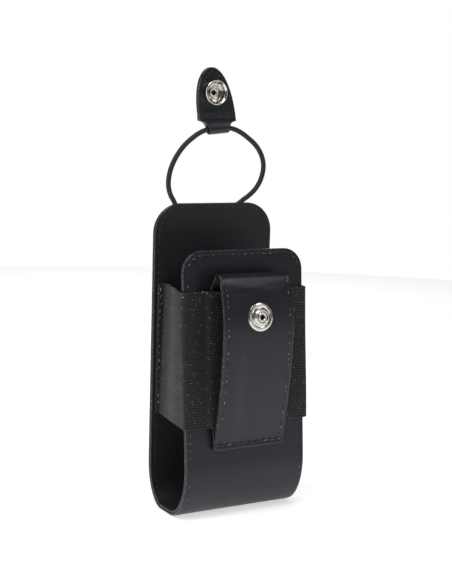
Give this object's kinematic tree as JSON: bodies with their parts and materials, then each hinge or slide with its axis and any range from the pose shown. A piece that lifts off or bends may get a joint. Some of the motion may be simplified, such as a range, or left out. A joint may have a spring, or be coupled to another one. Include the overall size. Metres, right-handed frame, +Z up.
{
  "type": "leather device case",
  "caption": "Soft black leather holster case with elastic sides, a belt strap with a snap stud, and an elastic cord loop that carries a leather snap tab.",
  "frame": {"origin": "under the middle of the case, on the face it stands on, measured without the cord loop and its tab", "axes": "+X to the case's right seen from the front, -Y out of the front with the snap stud, +Z up out of the mouth"},
  "size_m": [0.0672, 0.0518, 0.2083],
  "materials": {
    "leather": "black grained leather, soft sheen",
    "lining": "black smooth split leather, matt",
    "elastic": "black ribbed woven elastic",
    "cord": "black braided elastic cord",
    "chrome": "bright nickel-chrome plated"
  },
  "bodies": {
    "case": {"case_outer": "leather", "case_lining": "lining", "elastic_band": "elastic", "strap_facing": "leather", "strap_lining": "lining", "snap_stud": "chrome", "stud_post": "chrome"},
    "loop": {"cord_left": "cord", "cord_right": "cord"},
    "crown": {"cord_crown": "cord"},
    "tab": {"tab_leather": "leather", "snap_socket": "chrome", "socket_post": "chrome", "socket_spring": "chrome", "tab_cap": "chrome"}
  },
  "joints": [
    {"name": "loop_fold", "type": "hinge", "parent": "case", "child": "loop", "pos_m": [0, 0.02319, 0.1461], "axis": [0.9998, 0, 0.0209], "range_deg": [0, 122.1], "stiffness_Nm_per_rad": 0.04},
    {"name": "loop_stretch", "type": "slide", "parent": "loop", "child": "crown", "axis": [0, 0, 1], "range_m": [0, 0.0263], "deforming": ["cord_left", "cord_right"]},
    {"name": "tab_pivot", "type": "hinge", "parent": "crown", "child": "tab", "pos_m": [0.001, 0.02319, 0.18], "axis": [0.9945, 0, 0.1045], "range_deg": [-120, 49]}
  ],
  "couplings": [
    {"joint": "loop_stretch", "follows": "loop_fold", "m_per_rad": 0.012341}
  ]
}
